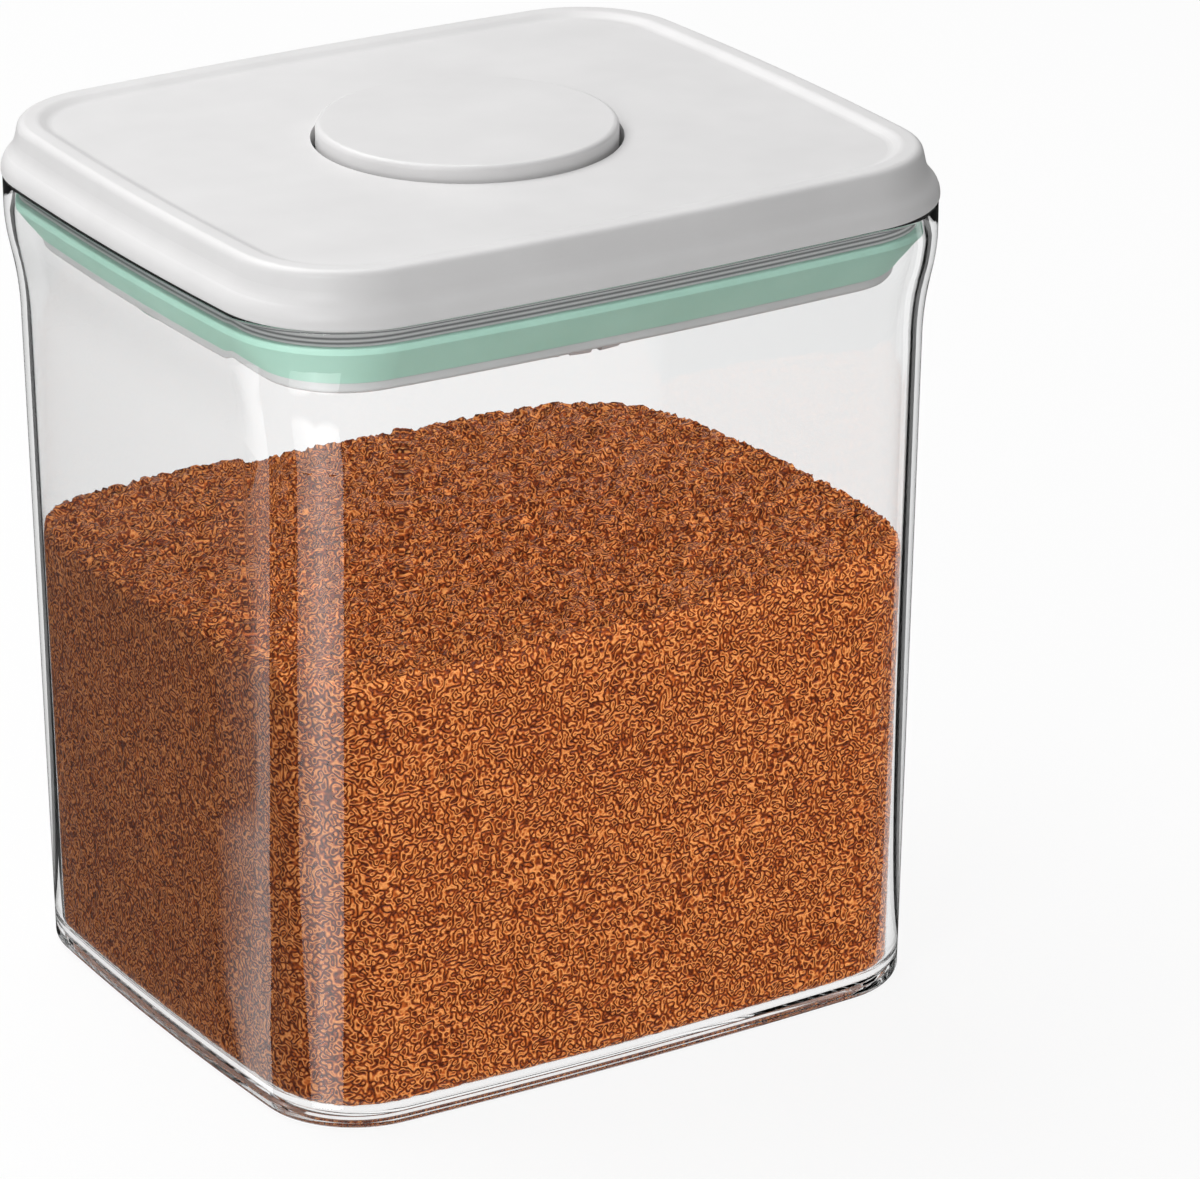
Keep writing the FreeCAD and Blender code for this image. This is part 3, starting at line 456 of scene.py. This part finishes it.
# %% [markdown]
# ## The plan of the keeper
# Every outline of the keeper is the same rounded rectangle with bowed sides, moved in by some
# distance. The clear wall and the sugar both need it, so its points are worked out here once: four
# large arcs for the sides and four small ones for the corners, all tangent.

# %% Points of the plan
HALF_W, HALF_D, CORNER, BOW = 85.5 * MM, 75.1 * MM, 28.4 * MM, 3.1 * MM


def plan_points(inset, step=1.2 * MM):
    side_x = HALF_D * HALF_D / (2 * BOW)
    side_y = HALF_W * HALF_W / (2 * BOW)
    centre_x, centre_y = HALF_W - side_x, HALF_D - side_y
    reach_x, reach_y = side_x - CORNER, side_y - CORNER
    span = math.hypot(centre_x, centre_y)
    along = (reach_x ** 2 - reach_y ** 2 + span ** 2) / (2 * span)
    aside = math.sqrt(reach_x ** 2 - along ** 2)
    ux, uy = -centre_x / span, centre_y / span
    corner = Vector((centre_x + ux * along - uy * aside, uy * along + ux * aside))
    if corner.x < 0 or corner.y < 0:
        corner = Vector((centre_x + ux * along + uy * aside, uy * along - ux * aside))
    turn_x = math.atan2(corner.y, corner.x - centre_x)
    turn_y = math.atan2(corner.y - centre_y, corner.x)
    quarter = []
    for cx, cy, radius, start, end in (
        (centre_x, 0, side_x, 0, turn_x),
        (corner.x, corner.y, CORNER, turn_x, turn_y),
        (0, centre_y, side_y, turn_y, math.pi / 2),
    ):
        count = max(3, round(radius * (end - start) / step))
        for index in range(count):
            angle = start + (end - start) * index / count
            arm = radius - inset
            quarter.append((cx + arm * math.cos(angle), cy + arm * math.sin(angle)))
    top = (0, HALF_D - inset)
    half = quarter + [top] + [(-x, y) for x, y in reversed(quarter[1:])]
    left = (-(HALF_W - inset), 0)
    return half + [left] + [(-x, -y) for x, y in half[1:]]


outline = plan_points(0)
print("plan points", len(outline), "width", round(max(p[0] for p in outline) * 2000, 1), "mm")

# %% [markdown]
# ## From outline to body
# A moulded wall is one outline carried up a profile. By hand this is a circle that is extruded and
# scaled again and again; the helper does the same with the exact outline in each ring. The profile
# is given by its corners and their radii, as on a drawing, and its long straight runs get a ring
# close to each end, so that smooth shading stays true on the flat.

# %% Two helpers for walls


def rounded_profile(corners, steps=8):
    """Points along a line of (inset, height, radius) corners, all in millimetres."""
    points = []
    for k, (inset, height, radius) in enumerate(corners):
        here = Vector((inset, height))
        if not radius:
            points.append(here)
            continue
        back = (Vector(corners[k - 1][:2]) - here).normalized()
        ahead = (Vector(corners[k + 1][:2]) - here).normalized()
        half = back.angle(ahead) / 2
        centre = here + (back + ahead).normalized() * (radius / math.sin(half))
        first = here + back * (radius / math.tan(half)) - centre
        last = here + ahead * (radius / math.tan(half)) - centre
        sweep = first.angle(last)
        for step in range(steps + 1):
            share = step / steps
            arm = first * math.sin((1 - share) * sweep) + last * math.sin(share * sweep)
            points.append(centre + arm / math.sin(sweep))
    full = [points[0]]
    for point in points[1:]:
        start, run = full[-1], point - full[-1]
        if run.length > 6:
            stops = [0.8] + [k * run.length / 6 for k in range(1, 6)] + [run.length - 0.8]
            full += [start + run * (stop / run.length) for stop in stops]
        full.append(point)
    return full


def stack_rings(name, rings):
    """Closed body through rings of equal count, extruded one after the other."""
    deselect()
    bpy.ops.mesh.primitive_circle_add(vertices=len(rings[0]), radius=HALF_D, fill_type="NGON")
    piece = bpy.context.object
    piece.name = name
    for vertex, place in zip(piece.data.vertices, rings[0]):
        vertex.co = place
    bpy.ops.object.mode_set(mode="EDIT")
    bpy.ops.mesh.select_mode(type="FACE")
    bpy.ops.mesh.select_all(action="SELECT")
    for last, ring in zip(rings, rings[1:]):
        bpy.ops.mesh.extrude_region_move(TRANSFORM_OT_translate={"value": (0, 0, 0.5 * MM)})
        bpy.ops.object.mode_set(mode="OBJECT")
        spots = {tuple(Vector(spot[:2])): place for spot, place in zip(last, ring)}
        for vertex in piece.data.vertices:
            if vertex.select:
                vertex.co = spots[tuple(vertex.co.xy)]
        bpy.ops.object.mode_set(mode="EDIT")
    bpy.ops.mesh.select_all(action="SELECT")
    bpy.ops.mesh.normals_make_consistent(inside=False)
    bpy.ops.object.mode_set(mode="OBJECT")
    return piece


def ring_at(inset_mm, height_mm):
    return [(x, y, height_mm * MM) for x, y in plan_points(inset_mm * MM)]


# %% [markdown]
# ## Clear wall
# The canister is clear plastic with real thickness, so light bends at the corners, the rim and the
# thick base and draws the lines that make it look clear. It could be faked by a faint see-through
# sheet, but then those lines are lost: full transmission is the honest way. Seen at a flat angle
# the light has a longer way through the plastic and comes out greyer, which a Layer Weight gives.
# The base sends light round many times before it gets out, so the bounce limits go up.

# %% Clear plastic
CLEAR_BOUNCES = 40
scene.cycles.max_bounces = CLEAR_BOUNCES
scene.cycles.transmission_bounces = CLEAR_BOUNCES
scene.cycles.glossy_bounces = CLEAR_BOUNCES
clear, tree, shader = new_material("clear_plastic")
shader.inputs["Roughness"].default_value = 0.0
shader.inputs["IOR"].default_value = 1.42
shader.inputs["Transmission Weight"].default_value = 1.0
slant = tree.nodes.new("ShaderNodeLayerWeight")
slant.inputs["Blend"].default_value = 0.5
edge = tree.nodes.new("ShaderNodeValToRGB")
stops = edge.color_ramp.elements
stops[0].position, stops[0].color = 0.86, (0.995, 0.997, 0.997, 1)
stops[1].position, stops[1].color = 0.98, (0.30, 0.31, 0.32, 1)
tree.links.new(slant.outputs["Facing"], edge.inputs["Fac"])
tree.links.new(edge.outputs["Color"], shader.inputs["Base Color"])
waves = grain(tree, 40, 1)
bump = tree.nodes.new("ShaderNodeBump")
bump.inputs["Distance"].default_value = 0.05 * MM
bump.inputs["Strength"].default_value = 0.15
tree.links.new(waves.outputs["Fac"], bump.inputs["Height"])
tree.links.new(bump.outputs["Normal"], shader.inputs["Normal"])
print("clear plastic, up to", CLEAR_BOUNCES, "bounces")

# %% The clear wall itself
WALL, BASE_IN, NECK_IN, RIM_IN = 2.4, 6.0, 3.1, 0.3
FLOOR_TOP, FLARE_Z, NECK_Z, RIM_Z = 2.4, 155.3, 168.8, 179.3
profile = rounded_profile([
    (20, 0.8, 0),
    (14, 0.8, 0.6),
    (13.2, 0, 0.6),
    (BASE_IN, 0, 1.8),
    (NECK_IN, FLARE_Z, 70),
    (RIM_IN, NECK_Z, 40),
    (RIM_IN, RIM_Z, 0.8),
    (RIM_IN + WALL, RIM_Z, 0.8),
    (RIM_IN + WALL, NECK_Z, 40),
    (NECK_IN + WALL, FLARE_Z, 70),
    (BASE_IN + WALL, FLOOR_TOP, 4),
    (20, FLOOR_TOP, 0),
])
wall = stack_rings("clear_wall", [ring_at(*point) for point in profile])
deselect()
wall.select_set(True)
bpy.context.view_layer.objects.active = wall
bpy.ops.object.shade_smooth_by_angle(angle=math.radians(40))
wall.data.materials.append(clear)
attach(wall, "canister")
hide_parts("canister")
print("clear wall", len(profile), "rings,", len(wall.data.polygons), "faces")

# %% [markdown]
# ## The sugar
# Moist brown sugar packs into crumbs like short thick worms, pressed flat where they meet the wall
# and loose on top. Thousands of modelled crumbs would be heavy, so the heap is one closed form: a
# block with the plan's outline, remeshed to an even net, with crumbs pushed into the net by noise.
# The colour has a finer pattern of its own, the level lines of a noise, with painted shade darkening
# the gaps and painted highlights on the crumbs' backs.

# %% Block out the heap
LEVEL = 102 * MM
GAP = 0.25
TOP_IN = BASE_IN + WALL - (BASE_IN - NECK_IN) * LEVEL / MM / FLARE_Z
block = rounded_profile([
    (20, FLOOR_TOP + GAP, 0),
    (BASE_IN + WALL + GAP, FLOOR_TOP + GAP, 4 - GAP),
    (TOP_IN + GAP, LEVEL / MM, 3),
    (20, LEVEL / MM, 0),
])
sugar = stack_rings("sugar_heap", [ring_at(*point) for point in block])
remesh = sugar.modifiers.new("even_net", "REMESH")
remesh.mode = "VOXEL"
remesh.voxel_size = 1.08 * MM
bpy.ops.object.modifier_apply(modifier="even_net")
print("sugar net", len(sugar.data.vertices), "points")


def heap_level(x, y):
    """Height of the settled sugar: nearly flat, lower towards the far corner."""
    east, north = x / HALF_W, y / HALF_D
    far = max(0.0, (east + north) / 2)
    roll = noise.noise(Vector((x, y, 0.3)) / (38 * MM))
    return LEVEL + (1.6 * east - 2.2 * max(0.0, north) - 5 * far * far + roll) * MM


# %% Push crumbs into the net
BEND_SHIFTS = (Vector((9.3, 0, 0)), Vector((0, 7.1, 0)), Vector((0, 0, 5.7)))
CRUMB, CRUMB_BEND = 2.6 * MM, 6 * MM
PRESSED_DEEP, LOOSE_DEEP = 0.35, 1.6
LOOSE_FROM = 60 * MM


def crumbs(point):
    """0 in the gaps between crumbs, 1 on their backs."""
    bend = Vector([noise.noise(point / CRUMB_BEND + shift) for shift in BEND_SHIFTS]) * 0.8 * MM
    fold = abs(noise.noise((point + bend) / CRUMB))
    return 1 - min(1.0, fold * 2.6)


normals = [vertex.normal.copy() for vertex in sugar.data.vertices]
for vertex, normal in zip(sugar.data.vertices, normals):
    spot = vertex.co.copy()
    relief = crumbs(spot)
    loose = max(0.0, normal.z) if spot.z > LOOSE_FROM else 0.0
    spot -= normal * (1 - relief) * (PRESSED_DEEP + LOOSE_DEEP * loose) * MM
    if spot.z > LOOSE_FROM:
        share = (spot.z - LOOSE_FROM) / (LEVEL - LOOSE_FROM)
        spot.z += share * (heap_level(spot.x, spot.y) - LEVEL + 1.0 * MM)
    vertex.co = spot
for face in sugar.data.polygons:
    face.use_smooth = True
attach(sugar, "canister")
print("sugar top", round(max(v.co.z for v in sugar.data.vertices) * 1000, 1), "mm")

# %% Colour of the sugar, with painted shade and highlights
WORM_FIELD, WORM_LINES = 1.35, 3.2
brown, tree, shader = new_material("moist_brown_sugar")
where = tree.nodes.new("ShaderNodeTexCoord")
field = tree.nodes.new("ShaderNodeTexNoise")
field.inputs["Scale"].default_value = 1 / (WORM_FIELD * MM)
field.inputs["Detail"].default_value = 0
tree.links.new(where.outputs["Object"], field.inputs["Vector"])
turns = math_node(tree, "MULTIPLY", field.outputs["Fac"], WORM_LINES * 2 * math.pi)
lines = math_node(tree, "COSINE", turns)
cut = tree.nodes.new("ShaderNodeTexNoise")
cut.inputs["Scale"].default_value = 1 / (1.1 * MM)
cut.inputs["Detail"].default_value = 1
tree.links.new(where.outputs["Object"], cut.inputs["Vector"])
height = math_node(tree, "MULTIPLY_ADD", lines, 0.34, 0.3)
relief = math_node(tree, "MULTIPLY_ADD", cut.outputs["Fac"], 0.5, height)
shade = tree.nodes.new("ShaderNodeValToRGB")
stops = shade.color_ramp.elements
# Painted shade and painted highlight: the darkest stop lays shade into the gaps between crumbs, the
# palest stop lays a highlight on their backs; the two middle stops are the sugar's own brown.
stops[0].position, stops[0].color = 0.18, srgb(84, 29, 4)
stops[1].position, stops[1].color = 0.92, srgb(242, 158, 88)
for position, colour in ((0.4, srgb(150, 66, 18)), (0.68, srgb(192, 96, 33))):
    stops.new(position).color = colour
tree.links.new(relief, shade.inputs["Fac"])
tree.links.new(shade.outputs["Color"], shader.inputs["Base Color"])
shader.inputs["Roughness"].default_value = 0.42
shader.inputs["Specular IOR Level"].default_value = 0.2
bump = tree.nodes.new("ShaderNodeBump")
bump.inputs["Distance"].default_value = 0.5 * MM
tree.links.new(relief, bump.inputs["Height"])
tree.links.new(bump.outputs["Normal"], shader.inputs["Normal"])
sugar.data.materials.append(brown)
print("sugar colour from", len(stops), "shades")

# %% [markdown]
# ## Light behind the clear wall
# A renderer finds little of a lamp's light behind a clear wall, and the lid shades the sugar. A
# real studio has the same trouble and lights the contents on their own. Here lamps are linked to
# the sugar and to the gasket alone, so the wall and the lid neither catch their light nor throw a
# shadow in it.

# %% Linked lamps


def link_lamp(light, *pieces):
    group = bpy.data.collections.new(light.name + "_pieces")
    for piece in pieces:
        group.objects.link(piece)
    light.light_linking.receiver_collection = group
    light.light_linking.blocker_collection = group
    print(light.name, "on", [piece.name for piece in pieces])


link_lamp(lamp("sugar_top_lamp", (0.1, 0.15, 1.1), (0, 0, 0.1), 0.5, 0.5, 2.6), sugar)
link_lamp(lamp("sugar_front_lamp", (0.35, -1.0, 0.9), (0, 0, 0.06), 0.5, 0.5, 13.4), sugar)
gasket_lamp = lamp("gasket_lamp", (-1.0, -0.45, 0.4), (0, 0, 0.17), 0.5, 0.5, 8.5)
link_lamp(gasket_lamp, nodes["gasket"], nodes["base_plate"])

# %% [markdown]
# ## Marks under the plate
# Three small raised padlock signs on the plate's underside show which way the cage turns. Each is a
# bevelled block with half a ring for the shackle, sunk halfway into the plate.

# %% Padlock marks
UNDERSIDE = 163.2 * MM
MARKS = ((-42.5, -35.6), (44.8, -38), (46, 30.9))
RING = {"major_radius": 1.5 * MM, "minor_radius": 0.32 * MM}
parts = []
for x, y in MARKS:
    deselect()
    bpy.ops.mesh.primitive_cube_add(size=1, location=(x * MM, y * MM, UNDERSIDE))
    body = bpy.context.object
    body.scale = (4.4 * MM, 3.4 * MM, 0.6 * MM)
    bpy.ops.object.transform_apply(location=True, rotation=True, scale=True)
    soften = body.modifiers.new("soft_edges", "BEVEL")
    soften.width = 0.2 * MM
    soften.segments = 2
    bpy.ops.object.modifier_apply(modifier="soft_edges")
    parts.append(body)
    deselect()
    bpy.ops.mesh.primitive_torus_add(location=(x * MM, (y + 1.8) * MM, UNDERSIDE), **RING)
    bpy.ops.object.transform_apply(location=True, rotation=True, scale=True)
    bpy.ops.object.mode_set(mode="EDIT")
    bpy.ops.mesh.select_all(action="SELECT")
    halfway = (0, (y + 1.6) * MM, 0)
    bpy.ops.mesh.bisect(plane_co=halfway, plane_no=(0, 1, 0), use_fill=True, clear_inner=True)
    bpy.ops.object.mode_set(mode="OBJECT")
    parts.append(bpy.context.object)
deselect()
for part in parts:
    part.select_set(True)
bpy.context.view_layer.objects.active = parts[0]
bpy.ops.object.join()
marks = bpy.context.object
marks.name = "lock_marks"
bpy.ops.object.shade_smooth_by_angle(angle=math.radians(40))
marks.data.materials.append(nodes["base_plate"].material_slots[0].material)
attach(marks, "lid")
print("marks", len(marks.data.polygons), "faces")
